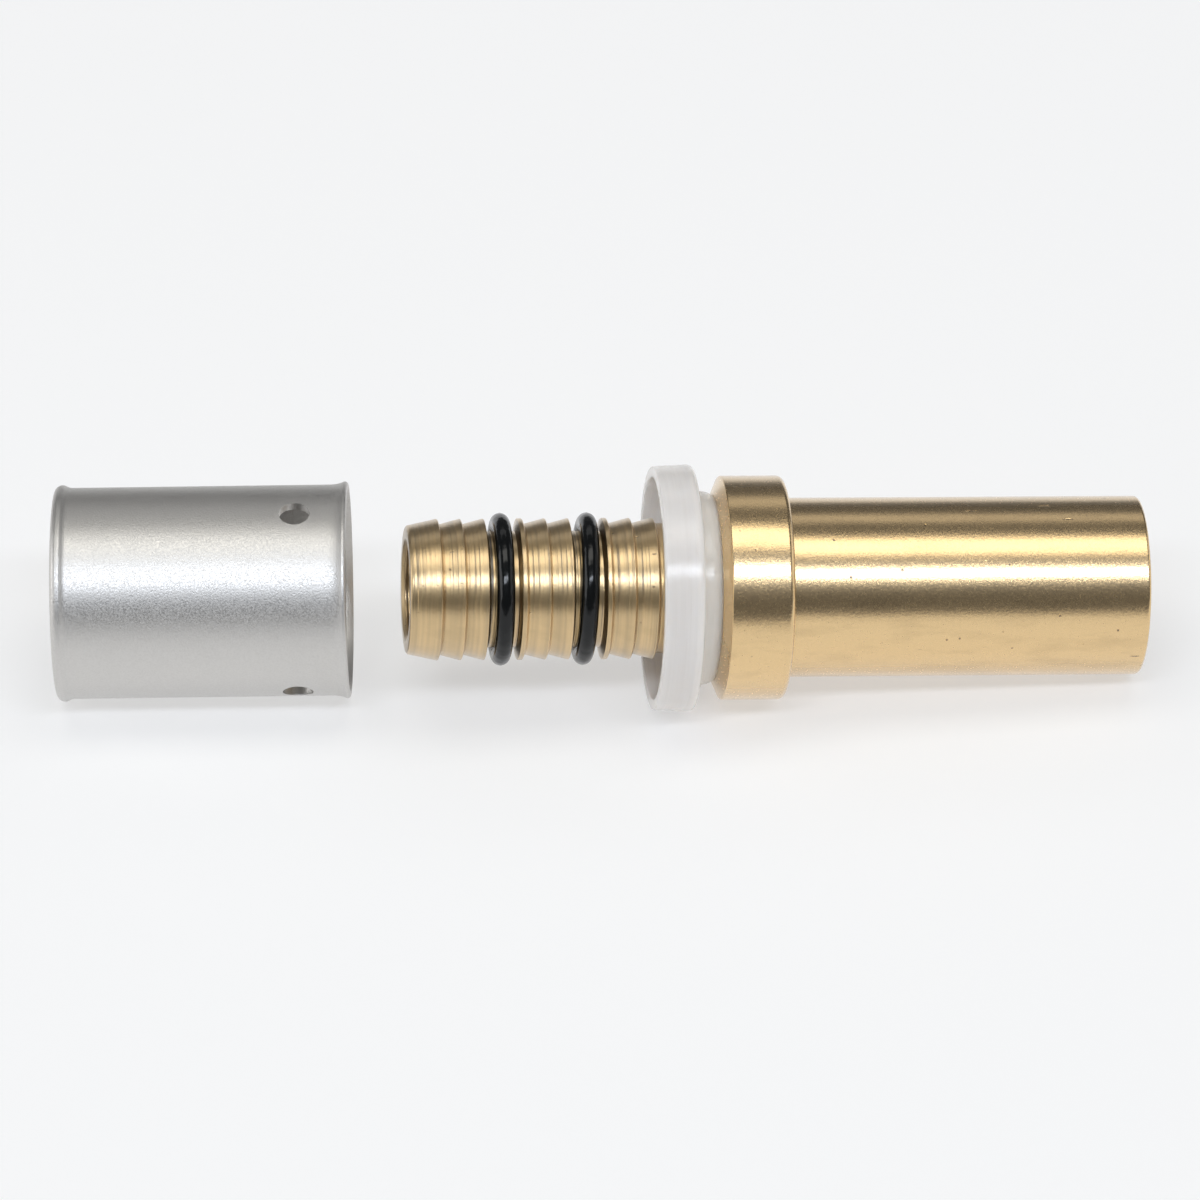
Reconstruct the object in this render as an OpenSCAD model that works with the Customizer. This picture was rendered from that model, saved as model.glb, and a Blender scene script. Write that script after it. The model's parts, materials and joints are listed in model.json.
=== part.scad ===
// Press fitting that joins plastic multilayer pipe to a copper-size plain spigot.
// The press sleeve is taken off and lies in line with the barb. The fitting itself lies
// as it comes to rest, on the edge of its widest ring and on the end of its spigot.
// All sizes are in millimetres. Along the fitting, s runs from the barb's tip to the spigot's end.

/* [Plastic pipe] */
// Outside diameter of the pipe that the sleeve is pressed on
pipe_d = 16; // [14:0.5:20]
// Bore of the pipe that goes over the barb
pipe_bore_d = 12; // [11.5:0.1:13]
// Radial clearance between the pipe and the sleeve before pressing
sleeve_clearance = 0.18; // [0.05:0.01:0.4]
// Radial clearance between the pipe's bore and the barb's crests
barb_clearance = 0.08; // [0:0.01:0.2]

/* [Barb] */
// Diameter at the barb's tip, where the pipe starts
lead_d = 10.7; // [10:0.1:11.2]
// Length of the first, longer tooth
lead_len = 2.6; // [1.5:0.1:5]
// Distance from one crest to the next
tooth_pitch = 1.95; // [1.2:0.05:3]
// Height of a tooth from root to crest
tooth_depth = 0.47; // [0.2:0.01:0.6]
// Length of a tooth's steep back
tooth_back = 0.2; // [0.05:0.01:0.4]
// Teeth in each group, before and after an O-ring
teeth_in_group = 2; // [1:1:4]
// Bevel on the tip's outer edge
tip_bevel = 0.25; // [0.1:0.05:0.5]
// Length of the plain seat between the last tooth and the collar
seat_len = 4.85; // [4.6:0.05:8]

/* [O-rings] */
// Thickness of an O-ring's round section
o_ring_section = 1.5; // [1.2:0.05:1.8]
// Diameter at the bottom of an O-ring groove
groove_d = 9.7; // [9.4:0.05:10.2]
// Width of a groove at its bottom
groove_w = 2.4; // [2:0.05:3.5]
// Length by which each side of a groove leans outwards
groove_lean = 0.2; // [0.05:0.01:0.4]
// Width of the plain land behind each groove
land_w = 0.38; // [0.2:0.02:1]
// Number of O-ring grooves
grooves = 2; // [2:1:2]
// Radial gap between an O-ring and its groove's bottom
o_ring_gap = 0.015; // [0.005:0.005:0.05]
// Lean of the O-ring nearer the collar, which sits a little askew in its groove
o_ring_skew = 1.9; // [0:0.1:2.4]
// Direction of that lean, as a turn about the fitting's axis
o_ring_skew_turn = 40; // [0:5:180]

/* [Collar] */
// Outside diameter of the collar
collar_d = 18.75; // [17:0.05:20]
// Length of the collar
collar_len = 5.9; // [5:0.1:12]
// Diameter of the collar's flat face, towards the barb
collar_face_d = 15.7; // [13:0.1:16.5]
// Length of the steep bevel around that face
collar_bevel = 0.66; // [0.2:0.02:1.5]
// Rounding of the collar's edge towards the spigot
collar_edge_r = 0.55; // [0.1:0.05:1]

/* [Spigot] */
// Outside diameter of the plain end, made to a copper tube size
spigot_d = 15; // [14:0.5:16]
// Length of the plain end beyond the collar
spigot_len = 30.1; // [20:0.1:45]
// Rounding of the plain end's outer edge
spigot_edge_r = 0.3; // [0.1:0.05:0.5]

/* [Waterway] */
// Bore through the barb
barb_bore_d = 8; // [6:0.1:8.4]
// Bore of the spigot
spigot_bore_d = 12; // [9:0.1:12.6]
// Depth to which the spigot is bored, up to the drill's cone
spigot_bore_depth = 32.5; // [32:0.1:34]
// Full angle of the drill's cone at the step between the bores
drill_angle = 118; // [90:1:140]
// Bevel on the edge of each bore
bore_bevel = 0.3; // [0.1:0.05:0.6]

/* [Insulating ring] */
// Radial clearance between the ring and the brass that it sits on
ring_clearance = 0.05; // [0.02:0.01:0.2]
// Radial clearance between the sleeve's lip and the ring's cup
cup_clearance = 0.2; // [0.05:0.05:0.5]
// Wall of the cup at its rim
cup_wall = 0.9; // [0.6:0.05:1.5]
// Depth of the cup that the sleeve's end slides into
cup_depth = 2.56; // [1.5:0.02:2.8]
// Moulding draft, as growth of the cup's outer radius from its rim to its back
cup_draft = 0.15; // [0.05:0.01:0.3]
// Thickness of the cup's floor
web_t = 0.8; // [0.5:0.05:1.5]
// Rounding of the cup's outer edge at its back
ring_edge_r = 0.5; // [0.1:0.05:0.7]
// Rounding of the cup's rim
rim_edge_r = 0.2; // [0.05:0.05:0.3]
// Outside diameter of the neck that meets the collar
neck_d = 16.2; // [14:0.1:17]
// Length of the neck
neck_len = 1.7; // [1.2:0.05:2.2]
// Radius of the neck's crowned shoulder
crown_r = 2; // [1.5:0.1:2.5]
// Length of that shoulder
crown_len = 1.1; // [0.4:0.1:1.2]

/* [Press sleeve] */
// Length of the sleeve
sleeve_len = 24.6; // [18:0.1:35]
// Thickness of the sleeve's sheet
sleeve_wall = 0.68; // [0.5:0.01:1]
// Height of the lips at both ends over the sleeve's outside
lip_rise = 0.24; // [0.1:0.01:0.4]
// Radius of the rolled bead's profile at the open end
bead_r = 0.62; // [0.45:0.01:0.8]
// Radius of the hollow between the bead and the sleeve's outside
bead_fillet_r = 1; // [0.4:0.1:2]
// Length of the flare at the end that the ring takes
flare_len = 1.5; // [1.2:0.05:2.2]
// Radius of the flare's bend on the outside
flare_bend_r = 3; // [2.5:0.1:5]
// Rounding of the flare's outer edge
flare_edge_r = 0.25; // [0.05:0.05:0.3]
// Diameter of the sight holes that show whether the pipe is home
sight_hole_d = 2.6; // [1.5:0.1:4]
// Distance of the sight holes from the flared end
sight_hole_s = 4.3; // [3.5:0.1:8]
// Number of sight holes around the sleeve
sight_holes = 3; // [2:1:6]
// How far the first sight hole is rolled to the front from straight up
sight_hole_turn = 5.5; // [0:0.5:60]

/* [Lying in line] */
// Gap between the barb's tip and the sleeve's flared end
sleeve_gap = 4.5; // [2:0.1:20]
// How far the sleeve lies behind the fitting's axis
sleeve_set_back = 4.3; // [0:0.1:10]
// Turn of the sleeve on the table, its far end going back
sleeve_yaw = 4.9; // [0:0.1:15]

/* [Hidden] */
$fn = 96;
// Flats along each rounding
arc_steps = 10;
// How far a drill stands out of what it cuts
cut = 1;

// Radii of the barb and the seat
crest_r = pipe_bore_d / 2 - barb_clearance;
root_r = crest_r - tooth_depth;
groove_r = groove_d / 2;
seat_r = root_r;

// Lengths along the barb
group_len = teeth_in_group * tooth_pitch;
groove_len = groove_w + 2 * groove_lean;
run_len = groove_len + land_w + group_len;
barb_len = lead_len + group_len + grooves * run_len;
collar_s = barb_len + tooth_back + seat_len;
collar_end_s = collar_s + collar_len;
fitting_len = collar_end_s + spigot_len;

// The drill's cone between the two bores
step_s = fitting_len - spigot_bore_depth;
cone_len = (spigot_bore_d - barb_bore_d) / 2 / tan(drill_angle / 2);

// Press sleeve
sleeve_bore_r = pipe_d / 2 + sleeve_clearance;
sleeve_r = sleeve_bore_r + sleeve_wall;
lip_r = sleeve_r + lip_rise;
flare_s = sleeve_len - flare_len;
bead_ring_r = lip_r - bead_r;

// Insulating ring
ring_bore_r = seat_r + ring_clearance;
cup_r = lip_r + cup_clearance;
rim_r = cup_r + cup_wall;
cup_back_r = rim_r + cup_draft;
cup_back_s = collar_s - neck_len;
web_s = cup_back_s - web_t;
rim_s = web_s - cup_depth;
neck_r = neck_d / 2;

// Corners that are rounded, each between its neighbours along the profile
ring_edge = [[rim_r, rim_s], [cup_back_r, cup_back_s], [neck_r, cup_back_s]];
rim_edge = [[cup_r, rim_s], [rim_r, rim_s], [cup_back_r, cup_back_s]];
collar_edge = [[collar_d / 2, collar_s], [collar_d / 2, collar_end_s], [spigot_d / 2, collar_end_s]];
spigot_edge = [[spigot_d / 2, collar_end_s], [spigot_d / 2, fitting_len], [0, fitting_len]];

function unit(v) = v / norm(v);
function angle_of(v) = atan2(v[1], v[0]);

// Profile points are [radius, s]. An arc about c, of radius r, from one angle to another
function arc(c, r, from, to) = [
    for (i = [0 : arc_steps])
        let (a = from + (to - from) * i / arc_steps)
        c + r * [cos(a), sin(a)]
];

// Centre of the arc of radius r that rounds the corner p[1] between p[0] and p[2]
function arc_centre(p, r) =
    let (
        u = unit(p[0] - p[1]),
        v = unit(p[2] - p[1])
    )
    p[1] + r / sin(acos(u * v) / 2) * unit(u + v);

// That arc's points, from the side of p[0] to the side of p[2]
function rounded(p, r) =
    let (
        c = arc_centre(p, r),
        u = unit(p[0] - p[1]),
        v = unit(p[2] - p[1]),
        from = angle_of(p[1] + u * ((c - p[1]) * u) - c),
        to = angle_of(p[1] + v * ((c - p[1]) * v) - c),
        turn = (to - from + 540) % 360 - 180
    )
    arc(c, r, from, from + turn);

// How steeply the fitting leans when rounded edges about a and b both touch the floor
function lean(a, ra, b, rb) =
    atan2(a[0] - b[0], b[1] - a[1]) + asin((ra - rb) / norm(a - b));

ring_arc = arc_centre(ring_edge, ring_edge_r);
collar_arc = arc_centre(collar_edge, collar_edge_r);
spigot_arc = arc_centre(spigot_edge, spigot_edge_r);
tilt = max(lean(ring_arc, ring_edge_r, spigot_arc, spigot_edge_r),
    lean(collar_arc, collar_edge_r, spigot_arc, spigot_edge_r));
// Height of the barb's tip, on the axis
tip_z = spigot_arc[1] * sin(tilt) + spigot_arc[0] * cos(tilt) + spigot_edge_r;

// Centre of the sleeve's beaded end, measured from the barb's tip
bead_end_x = -sleeve_gap - sleeve_len * cos(sleeve_yaw);
bead_end_y = sleeve_set_back + sleeve_len * sin(sleeve_yaw);

// Outer limits of the whole set, which put the origin at its middle on the floor
widest_r = max(ring_arc[0] + ring_edge_r, collar_d / 2);
x_low = bead_end_x + bead_r * cos(sleeve_yaw) - bead_ring_r * sin(sleeve_yaw) - bead_r;
x_high = spigot_arc[1] * cos(tilt) + spigot_arc[0] * sin(tilt) + spigot_edge_r;
y_low = -widest_r;
y_high = max(widest_r, bead_end_y - bead_r * sin(sleeve_yaw) + bead_ring_r * cos(sleeve_yaw) + bead_r);
origin_shift = [-(x_low + x_high) / 2, -(y_low + y_high) / 2, 0];

// Where each groove's bottom begins, and where the land behind it ends
function groove_s(i) = lead_len + group_len + groove_lean + i * run_len;
function land_end_s(i) = groove_s(i) + groove_w + groove_lean + land_w;

// Teeth that follow a crest at s: each climbs from its root to the next crest
function teeth(s) = [
    for (i = [0 : teeth_in_group - 1])
        each [[root_r, s + i * tooth_pitch + tooth_back], [crest_r, s + (i + 1) * tooth_pitch]]
];

// A groove and the land behind it
function groove(i) = [
    [groove_r, groove_s(i)],
    [groove_r, groove_s(i) + groove_w],
    [crest_r, groove_s(i) + groove_w + groove_lean],
    [crest_r, land_end_s(i)]
];

// The turned outside, from the tip to the spigot's end
function turned_outside() = [
    [lead_d / 2 - tip_bevel, 0],
    [lead_d / 2, tip_bevel],
    [crest_r, lead_len],
    each teeth(lead_len),
    for (i = [0 : grooves - 1]) each [each groove(i), each teeth(land_end_s(i))],
    [seat_r, barb_len + tooth_back],
    [seat_r, collar_s],
    [collar_face_d / 2, collar_s],
    [collar_d / 2, collar_s + collar_bevel],
    each rounded(collar_edge, collar_edge_r),
    [spigot_d / 2, collar_end_s],
    each rounded(spigot_edge, spigot_edge_r)
];

// The drilled waterway, from the spigot's end back to the tip
function drilled_inside() = [
    [spigot_bore_d / 2 + bore_bevel, fitting_len],
    [spigot_bore_d / 2, fitting_len - bore_bevel],
    [spigot_bore_d / 2, step_s],
    [barb_bore_d / 2, step_s - cone_len],
    [barb_bore_d / 2, bore_bevel],
    [barb_bore_d / 2 + bore_bevel, 0]
];

// The ring's cup, open towards the tip, and the neck with its crowned shoulder
function ring_profile() = [
    [ring_bore_r, web_s],
    [cup_r, web_s],
    [cup_r, rim_s],
    each rounded(rim_edge, rim_edge_r),
    each rounded(ring_edge, ring_edge_r),
    [neck_r, cup_back_s],
    each arc([neck_r - crown_r, collar_s - crown_len], crown_r, 0, asin(crown_len / crown_r)),
    [ring_bore_r, collar_s]
];

// The sleeve's bead, run into the wall by a hollow fillet
function bead() =
    let (
        bead_c = [bead_ring_r, bead_r],
        across = sleeve_r + bead_fillet_r - bead_ring_r,
        along = sqrt(pow(bead_r + bead_fillet_r, 2) - pow(across, 2)),
        meet = atan2(along, across)
    )
    [
        each arc(bead_c, bead_r, -acos((sleeve_bore_r - bead_ring_r) / bead_r), meet),
        each arc(bead_c + [across, along], bead_fillet_r, 180 + meet, 180)
    ];

// The sleeve's flare: both faces of the wall bend outwards about one centre, up to a rounded edge
function flare() =
    let (
        bend_c = [sleeve_r + flare_bend_r, flare_s],
        inner_r = flare_bend_r + sleeve_wall,
        crest = acos((bend_c[0] - lip_r) / flare_bend_r)
    )
    [
        each arc(bend_c, flare_bend_r, 180, 180 - crest),
        each arc([lip_r - flare_edge_r, sleeve_len - flare_edge_r], flare_edge_r, 0, 90),
        each arc(bend_c, inner_r, 180 - asin(flare_len / inner_r), 180)
    ];

// Lays a piece of the fitting down: the spigot's end sinks until it touches the floor
module lay_fitting() {
    translate(origin_shift + [0, 0, tip_z]) rotate([0, 90 + tilt, 0]) children();
}

// Lays the sleeve down on its two lips
module lay_sleeve() {
    translate(origin_shift + [bead_end_x, bead_end_y, lip_r])
        rotate([0, 90, -sleeve_yaw]) children();
}

// Brass, turned and drilled from one bar
module fitting_body() {
    color("#c8ac74") lay_fitting()
        rotate_extrude() polygon([each turned_outside(), each drilled_inside()]);
}

// Rubber ring around the bottom of groove i, leaning by skew
module o_ring(i, skew) {
    color("#1d2022") lay_fitting()
        translate([0, 0, groove_s(i) + groove_w / 2])
        rotate(skew, [cos(o_ring_skew_turn), sin(o_ring_skew_turn), 0])
        rotate_extrude()
        translate([groove_r + o_ring_gap + o_ring_section / 2, 0]) circle(d = o_ring_section);
}

module tip_o_ring() {
    o_ring(0, 0);
}

module collar_o_ring() {
    o_ring(grooves - 1, o_ring_skew);
}

// Milky plastic, moulded: it is pushed over the teeth up to the collar
module insulating_ring() {
    color("#dcdcda") lay_fitting() rotate_extrude() polygon(ring_profile());
}

// Thin stainless steel tube with a lip at each end and sight holes near the flared one
module press_sleeve() {
    color("#b9bbb9") lay_sleeve() difference() {
        rotate_extrude() polygon([each bead(), each flare()]);
        for (i = [0 : sight_holes - 1])
            translate([0, 0, sleeve_len - sight_hole_s])
            rotate([0, 90, 180 + sight_hole_turn + i * 360 / sight_holes])
            cylinder(d = sight_hole_d, h = lip_r + cut);
    }
}

fitting_body();
tip_o_ring();
collar_o_ring();
insulating_ring();
press_sleeve();
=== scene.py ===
import json
from math import cos, pi, radians, sin, tan

import bpy
from mathutils import Matrix, Vector


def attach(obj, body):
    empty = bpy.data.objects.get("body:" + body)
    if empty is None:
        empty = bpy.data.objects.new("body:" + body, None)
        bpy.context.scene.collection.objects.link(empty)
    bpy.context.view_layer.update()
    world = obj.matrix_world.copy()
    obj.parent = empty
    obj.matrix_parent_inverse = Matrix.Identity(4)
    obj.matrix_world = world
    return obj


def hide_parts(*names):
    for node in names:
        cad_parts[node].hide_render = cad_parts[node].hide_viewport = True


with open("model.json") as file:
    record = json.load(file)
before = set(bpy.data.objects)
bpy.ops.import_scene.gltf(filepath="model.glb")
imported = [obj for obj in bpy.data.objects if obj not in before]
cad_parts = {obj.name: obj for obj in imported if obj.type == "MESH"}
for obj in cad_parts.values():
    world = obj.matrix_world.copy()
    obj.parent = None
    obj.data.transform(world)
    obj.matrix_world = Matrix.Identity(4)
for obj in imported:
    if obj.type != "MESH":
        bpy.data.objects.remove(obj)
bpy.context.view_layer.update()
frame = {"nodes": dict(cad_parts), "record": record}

# Fitting body
# Free-cutting brass, turned and drilled from one bar: saw teeth that grip the pipe, two grooves
# for O-rings, a seat for the insulating ring, a collar, and a plain end that goes into a joint.
MM = 0.001
mounts = {mount["name"]: mount for mount in frame["record"]["mounts"]}
barb_tip = Vector(mounts["pipe_barb"]["pos_m"])
fitting_axis = -Vector(mounts["pipe_barb"]["axis"])


def lying(start, axis):
    """The matrix that lays a piece made about +Z, in millimetres, along axis with its Y level."""
    level = Vector((0, 0, 1)).cross(axis).normalized()
    turn = Matrix((level.cross(axis), level, axis)).transposed()
    return Matrix.Translation(start) @ turn.to_4x4() @ Matrix.Scale(MM, 4)


fitting_place = lying(barb_tip, fitting_axis)

# Barb: radii, and lengths along the axis, in millimetres
lead_r = 5.35
crest_r = 5.92
root_r = 5.45
groove_r = 4.85
lead_len = 2.6
tooth_pitch = 1.95
tooth_back = 0.2
teeth_in_group = 2
groove_count = 2
groove_w = 2.4
groove_lean = 0.2
land_w = 0.38
seat_len = 4.85
# Collar, spigot and bores
collar_r = 9.375
collar_face_r = 7.85
collar_bevel = 0.66
collar_len = 5.9
spigot_r = mounts["spigot"]["dims"]["r_mm"]
spigot_len = 30.1
barb_bore_r = 4.0
spigot_bore_r = 6.0
spigot_bore_depth = 32.5
drill_half_angle = radians(59)
bore_bevel = 0.3
# How far a corner is rounded, measured along both of its sides
tip_break = 0.2
crest_break = 0.07
edge_break = 0.12
bore_break = 0.05
groove_fillet = 0.06
seat_fillet = 0.1
collar_round = 0.5
spigot_round = 0.28
# Each corner of the outline is a radius, a length from the barb's tip and its rounding
fitting_outline = [(lead_r, 0.0, tip_break), (crest_r, lead_len, crest_break)]
# How far along the axis the outline has come
reached = lead_len


def add_teeth(outline, start):
    """Adds the teeth of one group behind a crest, and returns where the last one ends."""
    for i in range(teeth_in_group):
        outline.append((root_r, start + i * tooth_pitch + tooth_back, 0.0))
        outline.append((crest_r, start + (i + 1) * tooth_pitch, crest_break))
    return start + teeth_in_group * tooth_pitch


reached = add_teeth(fitting_outline, reached)
groove_middles = []
for _ in range(groove_count):
    reached += groove_lean
    groove_middles.append(reached + groove_w / 2)
    fitting_outline += [(groove_r, reached, groove_fillet), (groove_r, reached + groove_w, groove_fillet)]
    reached += groove_w + groove_lean
    fitting_outline += [(crest_r, reached, crest_break), (crest_r, reached + land_w, crest_break)]
    reached = add_teeth(fitting_outline, reached + land_w)
barb_end = reached + tooth_back
collar_at = barb_end + seat_len
collar_end = collar_at + collar_len
fitting_len = collar_end + spigot_len
bore_step = fitting_len - spigot_bore_depth
cone_len = (spigot_bore_r - barb_bore_r) / tan(drill_half_angle)
fitting_outline += [
    (root_r, barb_end, 0.0), (root_r, collar_at, seat_fillet),
    (collar_face_r, collar_at, edge_break), (collar_r, collar_at + collar_bevel, edge_break),
    (collar_r, collar_end, collar_round), (spigot_r, collar_end, edge_break),
    (spigot_r, fitting_len, spigot_round), (spigot_bore_r + bore_bevel, fitting_len, bore_break),
    (spigot_bore_r, fitting_len - bore_bevel, bore_break), (spigot_bore_r, bore_step, 0.0),
    (barb_bore_r, bore_step - cone_len, edge_break), (barb_bore_r, bore_bevel, bore_break),
    (barb_bore_r + bore_bevel, 0.0, bore_break)]


def turned(name, outline, place, steps=240, round_steps=6):
    """A piece turned about +Z from the closed outline of its half section, laid down at place."""
    same_spot = 1e-4
    corners = [Vector((radius, 0, height)) for radius, height, _ in outline]
    bpy.ops.object.select_all(action="DESELECT")
    bpy.ops.mesh.primitive_plane_add(size=1)
    piece = bpy.context.object
    piece.name = name
    piece.data.name = name
    bpy.ops.object.mode_set(mode="EDIT")
    bpy.ops.mesh.select_mode(type="VERT")
    bpy.ops.mesh.merge(type="CENTER")
    bpy.ops.transform.translate(value=corners[0])
    for here, there in zip(corners, corners[1:] + corners[:1]):
        bpy.ops.mesh.extrude_vertices_move(TRANSFORM_OT_translate={"value": there - here})
    bpy.ops.mesh.select_all(action="SELECT")
    bpy.ops.mesh.remove_doubles(threshold=same_spot)
    for rounding in sorted({corner[2] for corner in outline} - {0.0}):
        chosen = [at for at, corner in zip(corners, outline) if corner[2] == rounding]
        bpy.ops.mesh.select_all(action="DESELECT")
        bpy.ops.object.mode_set(mode="OBJECT")
        for vertex in piece.data.vertices:
            vertex.select = any((vertex.co - at).length < 10 * same_spot for at in chosen)
        bpy.ops.object.mode_set(mode="EDIT")
        bpy.ops.mesh.bevel(offset=rounding, segments=round_steps, affect="VERTICES")
    bpy.ops.mesh.select_all(action="SELECT")
    bpy.ops.mesh.spin(steps=steps, angle=2 * pi, center=(0, 0, 0), axis=(0, 0, 1))
    bpy.ops.mesh.select_all(action="SELECT")
    bpy.ops.mesh.remove_doubles(threshold=same_spot)
    bpy.ops.mesh.normals_make_consistent(inside=False)
    bpy.ops.object.mode_set(mode="OBJECT")
    piece.matrix_world = place
    bpy.ops.object.transform_apply(location=True, rotation=True, scale=True)
    bpy.ops.object.shade_smooth_by_angle(angle=radians(25))
    bpy.ops.object.modifier_add(type="WEIGHTED_NORMAL")
    piece.modifiers[-1].keep_sharp = True
    bpy.ops.object.modifier_apply(modifier=piece.modifiers[-1].name)
    return piece


def linear(code):
    """A colour written as sRGB hex, as the linear colour that a shader takes."""
    parts = [int(code[i:i + 2], 16) / 255 for i in (1, 3, 5)]
    return [c / 12.92 if c <= 0.04045 else ((c + 0.055) / 1.055) ** 2.4 for c in parts] + [1.0]


def add(material, kind, inputs=None, **settings):
    """Adds a node with its settings. An input is a value, or the output that feeds it."""
    node = material.node_tree.nodes.new(kind)
    for name, value in settings.items():
        setattr(node, name, value)
    for socket, value in (inputs or {}).items():
        if isinstance(value, bpy.types.NodeSocket):
            material.node_tree.links.new(value, node.inputs[socket])
        else:
            node.inputs[socket].default_value = value
    return node


def new_material(name):
    """An empty material, for add to fill."""
    material = bpy.data.materials.new(name)
    material.use_nodes = True
    material.node_tree.nodes.clear()
    return material


def piece_millimetres(material, place):
    """Coordinates in millimetres with +Z along the piece's own axis."""
    spot, turn, _ = place.decompose()
    objects = add(material, "ShaderNodeTexCoord").outputs["Object"]
    return add(material, "ShaderNodeMapping", {
        "Vector": objects, "Location": spot, "Rotation": turn.to_euler(), "Scale": (MM, MM, MM)},
        vector_type="TEXTURE").outputs[0]


# Turned brass, left as it comes off the lathe, under a film of cutting oil: satin, with a clear
# shine on top, tool rings that are deep on the barb, a fine grain, stains, pits and scratches.
brass = new_material("turned brass")
brass_mm = piece_millimetres(brass, fitting_place)
along = add(brass, "ShaderNodeSeparateXYZ", {"Vector": brass_mm}).outputs["Z"]
# The tool's feed is about 0.1 mm a turn. It is drawn three to four times coarser, to show.
feed_lines = add(brass, "ShaderNodeMapping", {"Vector": brass_mm, "Scale": (0.05, 0.05, 2.7)})
tool_rings = add(brass, "ShaderNodeTexNoise", {
    "Vector": feed_lines.outputs[0], "Scale": 1.0, "Detail": 1.5, "Roughness": 0.6})
barb_share = add(brass, "ShaderNodeMapRange", {
    "Value": along, "From Min": barb_end, "From Max": collar_at, "To Min": 1.0, "To Max": 0.07})
rings_bump = add(brass, "ShaderNodeBump", {
    "Height": tool_rings.outputs[0], "Strength": barb_share.outputs[0], "Distance": 0.16 * MM})
# The grain is finer than a tenth of a millimetre. It is drawn at about a fifth of one, to show.
grain = add(brass, "ShaderNodeTexNoise", {"Vector": brass_mm, "Scale": 5.0, "Detail": 1.0})
grain_bump = add(brass, "ShaderNodeBump", {
    "Height": grain.outputs[0], "Strength": 1.0, "Distance": 0.007 * MM,
    "Normal": rings_bump.outputs[0]})
grain_roughness = add(brass, "ShaderNodeMapRange", {
    "Value": grain.outputs[0], "From Min": 0.3, "From Max": 0.7, "To Min": 0.21, "To Max": 0.27})
brass_roughness = add(brass, "ShaderNodeMix", {
    "Factor": barb_share.outputs[0], "A": grain_roughness.outputs[0], "B": 0.33})
pit_cells = add(brass, "ShaderNodeTexVoronoi", {"Vector": brass_mm, "Scale": 0.55})
pits = add(brass, "ShaderNodeMapRange", {
    "Value": pit_cells.outputs["Distance"], "From Min": 0.03, "From Max": 0.075,
    "To Min": 1.0, "To Max": 0.0})
slanted = add(brass, "ShaderNodeMapping", {
    "Vector": brass_mm, "Location": (0.4, 0.3, 0.0), "Rotation": (0.5, 0.7, 0.3),
    "Scale": (0.9, 0.9, 0.12)})
scratch_cells = add(brass, "ShaderNodeTexVoronoi", {"Vector": slanted.outputs[0], "Scale": 1.0})
scratches = add(brass, "ShaderNodeMapRange", {
    "Value": scratch_cells.outputs["Distance"], "From Min": 0.04, "From Max": 0.07,
    "To Min": 1.0, "To Max": 0.0})
marks = add(brass, "ShaderNodeMath", {
    0: pits.outputs[0], 1: scratches.outputs[0]}, operation="MAXIMUM")
marks_bump = add(brass, "ShaderNodeBump", {
    "Height": marks.outputs[0], "Strength": 1.0, "Distance": 0.03 * MM,
    "Normal": grain_bump.outputs[0]}, invert=True)
smeared = add(brass, "ShaderNodeMapping", {
    "Vector": brass_mm, "Rotation": (0.0, 0.15, 0.0), "Scale": (0.55, 0.55, 0.16)})
stains = add(brass, "ShaderNodeTexNoise", {
    "Vector": smeared.outputs[0], "Scale": 1.0, "Detail": 4.0, "Roughness": 0.6})
stain_share = add(brass, "ShaderNodeMapRange", {
    "Value": stains.outputs[0], "From Min": 0.5, "From Max": 0.72, "To Min": 0.0, "To Max": 0.8})
stained = add(brass, "ShaderNodeMix", {
    "Factor": stain_share.outputs[0], "A": linear("#E5C38A"), "B": linear("#D2B27C")},
    data_type="RGBA")
# Painted shade: between the tool rings on the barb the brass is painted darker.
# It stands in for the shadow and the dim mirrored surroundings near the sleeve and the ring.
ring_painted_shade = add(brass, "ShaderNodeMapRange", {
    "Value": tool_rings.outputs[0], "From Min": 0.35, "From Max": 0.65,
    "To Min": 0.6, "To Max": 0.25})
barb_painted_shade = add(brass, "ShaderNodeMath", {
    0: ring_painted_shade.outputs[0], 1: barb_share.outputs[0]}, operation="MULTIPLY")
painted_shade_ringed = add(brass, "ShaderNodeMix", {
    "Factor": barb_painted_shade.outputs[0], "A": stained.outputs["Result"], "B": linear("#A08A62")},
    data_type="RGBA")
marked = add(brass, "ShaderNodeMix", {
    "Factor": marks.outputs[0], "A": painted_shade_ringed.outputs["Result"], "B": linear("#9C7C4E")},
    data_type="RGBA")
brass_shader = add(brass, "ShaderNodeBsdfPrincipled", {
    "Base Color": marked.outputs["Result"], "Metallic": 1.0, "Roughness": brass_roughness.outputs[0],
    "Coat Weight": 1.0, "Coat Roughness": 0.3, "Coat IOR": 1.8, "Normal": marks_bump.outputs[0]})
add(brass, "ShaderNodeOutputMaterial", {"Surface": brass_shader.outputs[0]})

fitting = turned("brass_fitting", fitting_outline, fitting_place)
fitting.data.materials.append(brass)
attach(fitting, "root")
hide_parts("fitting_body")

# O-rings
# Black rubber, pressed in a two-part mould that leaves a fine flash line around the outside. Each
# lies loose at the bottom of its groove, and the one nearer the collar sits a little askew.
o_ring_section_r = 0.75
o_ring_gap = 0.015
o_ring_flash = 0.012
o_ring_leans = [0.0, radians(1.9)]
o_ring_lean_axis = Vector((cos(radians(40)), sin(radians(40)), 0))
o_ring_r = groove_r + o_ring_gap + o_ring_section_r
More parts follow.
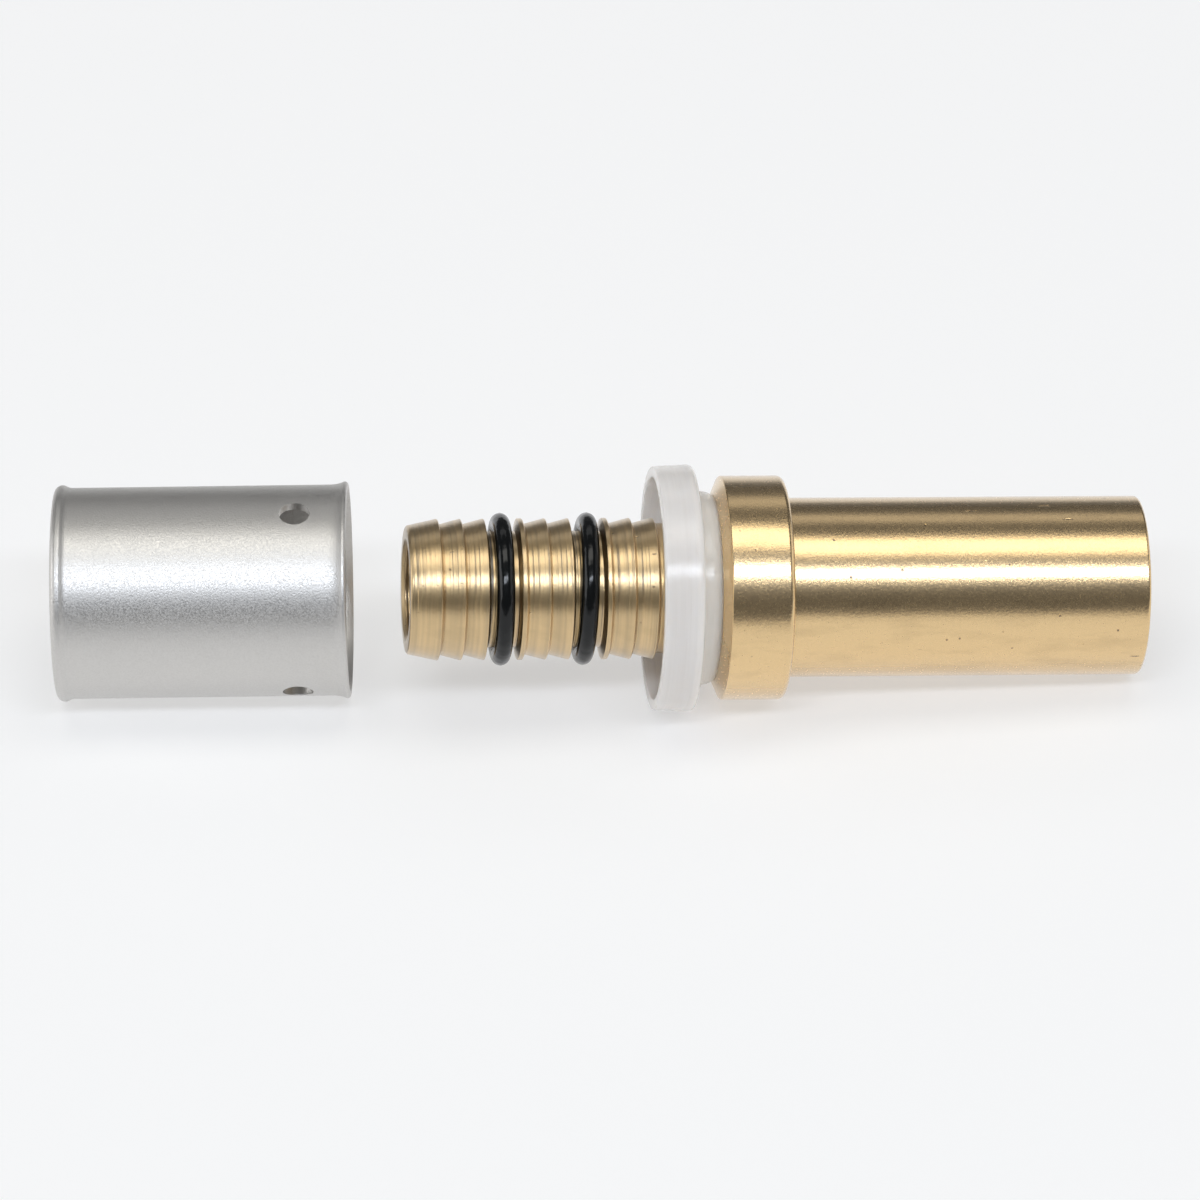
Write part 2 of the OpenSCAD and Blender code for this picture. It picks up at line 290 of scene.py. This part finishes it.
# Moulded rubber: near black and smooth, with soft streaks of light where the skin is uneven
rubber = new_material("moulded rubber")
rubber_mm = piece_millimetres(rubber, fitting_place)
rubber_grain = add(rubber, "ShaderNodeTexNoise", {"Vector": rubber_mm, "Scale": 1.1, "Detail": 1.0})
rubber_bump = add(rubber, "ShaderNodeBump", {
    "Height": rubber_grain.outputs[0], "Strength": 1.0, "Distance": 0.05 * MM})
rubber_shader = add(rubber, "ShaderNodeBsdfPrincipled", {
    "Base Color": linear("#0C0E0F"), "Roughness": 0.16, "IOR": 1.4, "Normal": rubber_bump.outputs[0]})
add(rubber, "ShaderNodeOutputMaterial", {"Surface": rubber_shader.outputs[0]})
for name, node, middle, lean in zip(
        ("seal_at_tip", "seal_at_collar"), ("tip_o_ring", "collar_o_ring"),
        groove_middles, o_ring_leans):
    bpy.ops.object.select_all(action="DESELECT")
    bpy.ops.mesh.primitive_torus_add(
        major_radius=o_ring_r, minor_radius=o_ring_section_r, major_segments=192, minor_segments=40)
    seal = bpy.context.object
    seal.name = name
    seal.data.name = name
    # The flash: the outermost loop of the ring is pulled out
    near = 0.01 * o_ring_section_r
    for vertex in seal.data.vertices:
        away_from_axis = Vector((vertex.co.x, vertex.co.y, 0)).length
        outside = away_from_axis > o_ring_r + o_ring_section_r - near
        vertex.select = outside and abs(vertex.co.z) < near
    for edge in seal.data.edges:
        edge.select = all(seal.data.vertices[i].select for i in edge.vertices)
    for face in seal.data.polygons:
        face.select = False
    bpy.ops.object.mode_set(mode="EDIT")
    growth = 1 + o_ring_flash / (o_ring_r + o_ring_section_r)
    bpy.ops.transform.resize(value=(growth, growth, 1))
    bpy.ops.object.mode_set(mode="OBJECT")
    bpy.ops.object.shade_smooth()
    seal.matrix_world = fitting_place @ Matrix.Translation((0, 0, middle)) @ Matrix.Rotation(
        lean, 4, o_ring_lean_axis)
    bpy.ops.object.transform_apply(location=True, rotation=True, scale=True)
    seal.data.materials.append(rubber)
    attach(seal, "root")
    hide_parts(node)

# Insulating ring
# Milky plastic, moulded and pushed over the teeth up to the collar. Its cup takes the end of the
# press sleeve and its neck keeps the steel off the brass.
ring_slip = 0.05
ring_bore_r = root_r + ring_slip
cup_r = 9.3
rim_r = 10.2
cup_back_r = 10.35
neck_r = 8.1
neck_end_r = 7.77
rim_at = 20.65
cup_floor_at = 23.21
cup_back_at = 24.01
neck_shoulder_len = 0.5
neck_shoulder_at = collar_at - neck_shoulder_len
# How far a moulded corner is rounded, measured along both of its sides
bore_round = 0.1
cup_corner_round = 0.3
rim_inner_round = 0.16
rim_outer_round = 0.2
cup_back_round = 0.45
neck_corner_round = 0.2
neck_shoulder_round = 0.48
seat_edge_round = 0.05
ring_outline = [
    (ring_bore_r, cup_floor_at, bore_round), (cup_r, cup_floor_at, cup_corner_round),
    (cup_r, rim_at, rim_inner_round), (rim_r, rim_at, rim_outer_round),
    (cup_back_r, cup_back_at, cup_back_round), (neck_r, cup_back_at, neck_corner_round),
    (neck_r, neck_shoulder_at, neck_shoulder_round), (neck_end_r, collar_at, seat_edge_round),
    (ring_bore_r, collar_at, seat_edge_round)]
# Uncoloured moulded plastic: milky, since light gets into it, with fine lines around from the mould
milky = new_material("milky plastic")
milky_mm = piece_millimetres(milky, fitting_place)
mould_lines = add(milky, "ShaderNodeMapping", {"Vector": milky_mm, "Scale": (0.06, 0.06, 3.0)})
mould_rings = add(milky, "ShaderNodeTexNoise", {
    "Vector": mould_lines.outputs[0], "Scale": 1.0, "Detail": 3.0, "Roughness": 0.6})
milky_bump = add(milky, "ShaderNodeBump", {
    "Height": mould_rings.outputs[0], "Strength": 1.0, "Distance": 0.06 * MM})
milky_tone = add(milky, "ShaderNodeMix", {
    "Factor": mould_rings.outputs[0], "A": linear("#E6E0DC"), "B": linear("#F5F0EC")},
    data_type="RGBA")
# Painted light: the neck is painted warmer and paler, for the glow of the brass seat through the thin
# plastic
ring_along = add(milky, "ShaderNodeSeparateXYZ", {"Vector": milky_mm}).outputs["Z"]
neck_glow_share = add(milky, "ShaderNodeMapRange", {
    "Value": ring_along, "From Min": cup_floor_at, "From Max": cup_back_at + neck_corner_round,
    "To Min": 0.0, "To Max": 0.9})
milky_painted_glow = add(milky, "ShaderNodeMix", {
    "Factor": neck_glow_share.outputs[0], "A": milky_tone.outputs["Result"], "B": linear("#FFF3E8")},
    data_type="RGBA")
milky_shader = add(milky, "ShaderNodeBsdfPrincipled", {
    "Base Color": milky_painted_glow.outputs["Result"], "Roughness": 0.2, "Subsurface Weight": 1.0,
    "Subsurface Radius": (0.9, 0.95, 1.0), "Subsurface Scale": 4.0 * MM,
    "Normal": milky_bump.outputs[0]})
add(milky, "ShaderNodeOutputMaterial", {"Surface": milky_shader.outputs[0]})
ring = turned("plastic_ring", ring_outline, fitting_place)
ring.data.materials.append(milky)
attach(ring, "root")
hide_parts("insulating_ring")

# Press sleeve
# Thin stainless steel, drawn, pickled and left satin, with a rolled bead at the open end, a flare
# at the end that goes into the ring's cup, and sight holes that show whether the pipe is home.
sleeve_axis = -Vector(mounts["sleeve_bore"]["axis"])
sleeve_place = lying(Vector(mounts["sleeve_bore"]["pos_m"]), sleeve_axis)
# Pickled stainless sheet: satin, with a sandy grain that is drawn coarser than it is, to show
steel = new_material("satin stainless sheet")
steel_mm = piece_millimetres(steel, sleeve_place)
steel_grain = add(steel, "ShaderNodeTexNoise", {"Vector": steel_mm, "Scale": 6.5, "Detail": 1.0})
steel_bump = add(steel, "ShaderNodeBump", {
    "Height": steel_grain.outputs[0], "Strength": 1.0, "Distance": 0.014 * MM})
steel_roughness = add(steel, "ShaderNodeMapRange", {
    "Value": steel_grain.outputs[0], "From Min": 0.3, "From Max": 0.7,
    "To Min": 0.38, "To Max": 0.56})
steel_shader = add(steel, "ShaderNodeBsdfPrincipled", {
    "Base Color": linear("#D1CFCC"), "Metallic": 1.0, "Roughness": steel_roughness.outputs[0],
    "Normal": steel_bump.outputs[0]})
add(steel, "ShaderNodeOutputMaterial", {"Surface": steel_shader.outputs[0]})
frame["nodes"]["press_sleeve"].data.materials.clear()
frame["nodes"]["press_sleeve"].data.materials.append(steel)

# Table
# A pale matt table with a low pale wall all round. Where it is seen or mirrored, half of it shows
# as it is lit, which keeps the shadow, and half is a white glow, which keeps it pale.
table_r = 3.0
wall_h = 0.09
bpy.ops.object.select_all(action="DESELECT")
bpy.ops.mesh.primitive_circle_add(vertices=96, radius=table_r, fill_type="NGON")
table = bpy.context.object
table.name = "table"
bpy.ops.object.mode_set(mode="EDIT")
bpy.ops.mesh.select_mode(type="EDGE")
bpy.ops.mesh.region_to_loop()
bpy.ops.mesh.extrude_edges_move(TRANSFORM_OT_translate={"value": (0, 0, wall_h)})
bpy.ops.object.mode_set(mode="OBJECT")
paper = new_material("pale matt table")
paths = add(paper, "ShaderNodeLightPath")
seen = add(paper, "ShaderNodeMath", {
    0: paths.outputs["Is Camera Ray"], 1: paths.outputs["Is Glossy Ray"]}, operation="MAXIMUM")
seen_all = add(paper, "ShaderNodeMath", {
    0: seen.outputs[0], 1: paths.outputs["Is Transmission Ray"]}, operation="MAXIMUM")
glow_share = add(paper, "ShaderNodeMath", {0: seen_all.outputs[0], 1: 0.5}, operation="MULTIPLY")
lit = add(paper, "ShaderNodeBsdfDiffuse", {"Color": linear("#FAFAFA")})
glow = add(paper, "ShaderNodeEmission", {"Color": linear("#FFFFFF"), "Strength": 1.0})
paper_mix = add(paper, "ShaderNodeMixShader", {
    0: glow_share.outputs[0], 1: lit.outputs[0], 2: glow.outputs[0]})
add(paper, "ShaderNodeOutputMaterial", {"Surface": paper_mix.outputs[0]})
table.data.materials.append(paper)

# Light
# A softbox overhead, a bright strip lamp in front of it, a weak strip behind and a softbox at each
# end, in a dim room. Together they light a level surface about as strongly as it is coloured, and
# the first two are faintly tinted, as the bands that they leave on the metal are.
room = bpy.data.worlds.new("dim room")
room.use_nodes = True
room_level = 0.105
room.node_tree.nodes["Background"].inputs["Color"].default_value = (room_level,) * 3 + (1.0,)
bpy.context.scene.world = room


def lamp(name, height, spread, radiance, bearing=0, tint="#FFFFFF"):
    """A flat lamp that faces the fitting. Height, spread and bearing are angles in degrees."""
    height = radians(height)
    bearing = radians(bearing)
    distance = 1.5
    length = 1.5
    width = 2 * distance * tan(radians(spread) / 2)
    data = bpy.data.lights.new(name, "AREA")
    data.shape = "RECTANGLE"
    data.size = length
    data.size_y = width
    data.energy = radiance * pi * length * width
    data.color = linear(tint)[:3]
    away = Vector((sin(bearing) * cos(height), -cos(bearing) * cos(height), sin(height)))
    lamp_object = bpy.data.objects.new(name, data)
    lamp_object.location = barb_tip + away * distance
    lamp_object.rotation_euler = away.to_track_quat("Z", "Y").to_euler()
    bpy.context.collection.objects.link(lamp_object)


lamp("front strip", 53.9, 7.1, 13.7, tint="#EDF4FF")
lamp("overhead softbox", 90.7, 24, 2.4, tint="#FFFDF6")
lamp("rear strip", 137, 15.5, 0.6)
lamp("left softbox", 20, 30, 1.9, bearing=-90)
lamp("right softbox", 20, 30, 0.9, bearing=90)

# Camera
# It looks down on the fitting from the front, a little from the left, through a long lens.
camera_height = radians(38)
camera_side = radians(4.5)
camera_roll = radians(-1.0)
camera_distance = 0.65
view_width = 100.4 * MM
camera_data = bpy.data.cameras.new("camera")
camera_data.sensor_width = 36
camera_data.lens = camera_data.sensor_width * camera_distance / view_width
camera = bpy.data.objects.new("camera", camera_data)
look = Vector((
    sin(camera_side) * cos(camera_height), cos(camera_side) * cos(camera_height), -sin(camera_height)))
# It aims at the middle of the row, about as high as the pieces' axes
aim = Vector((barb_tip.x + 16.24 * MM, barb_tip.y, 9.62 * MM))
camera.location = aim - look * camera_distance
camera.rotation_mode = "QUATERNION"
rolled = Matrix.Rotation(camera_roll, 3, "Z").to_quaternion()
camera.rotation_quaternion = look.to_track_quat("-Z", "Y") @ rolled
bpy.context.collection.objects.link(camera)
bpy.context.scene.camera = camera
bpy.context.scene.view_settings.view_transform = "Standard"
